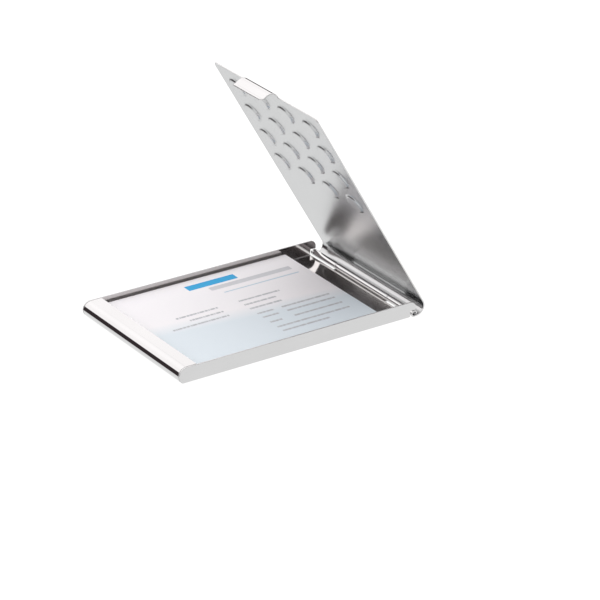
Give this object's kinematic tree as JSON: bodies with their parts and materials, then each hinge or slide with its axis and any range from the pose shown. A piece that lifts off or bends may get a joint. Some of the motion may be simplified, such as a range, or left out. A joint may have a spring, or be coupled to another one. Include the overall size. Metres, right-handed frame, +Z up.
{
  "type": "business card case",
  "caption": "Slim polished metal card case: folded tray with a lip over the cards, and a dimpled lid on a knuckle hinge with a thumb latch.",
  "frame": {"origin": "on the tray's underside, half way along the closed case and half way across it", "axes": "+X along the case from the rolled front to the hinge, +Y across it, +Z up out of the tray"},
  "size_m": [0.1044, 0.06, 0.0876],
  "materials": {
    "tray_metal": "polished",
    "lid_metal": "polished",
    "pin_metal": "satin",
    "printed_card": "matte",
    "plain_card": "matte"
  },
  "bodies": {
    "tray": {"tray": "tray_metal", "hinge_pin": "pin_metal"},
    "lid": {"lid": "lid_metal"},
    "top_card": {"top_card": "printed_card"},
    "card_stack": {"card_2": "plain_card", "card_3": "plain_card", "card_4": "plain_card", "card_5": "plain_card", "card_6": "plain_card", "card_7": "plain_card", "card_8": "plain_card", "card_9": "plain_card", "card_10": "plain_card", "card_11": "plain_card", "card_12": "plain_card"}
  },
  "joints": [
    {"name": "lid_hinge", "type": "hinge", "parent": "tray", "child": "lid", "pos_m": [0.04895, 0, 0.00125], "axis": [0, 1, 0], "range_deg": [-57.5, 4.5]},
    {"name": "top_card_slide", "type": "slide", "parent": "tray", "child": "top_card", "axis": [1, 0, 0], "range_m": [0, 0.01]},
    {"name": "card_stack_slide", "type": "slide", "parent": "tray", "child": "card_stack", "axis": [1, 0, 0], "range_m": [0, 0.01]}
  ]
}
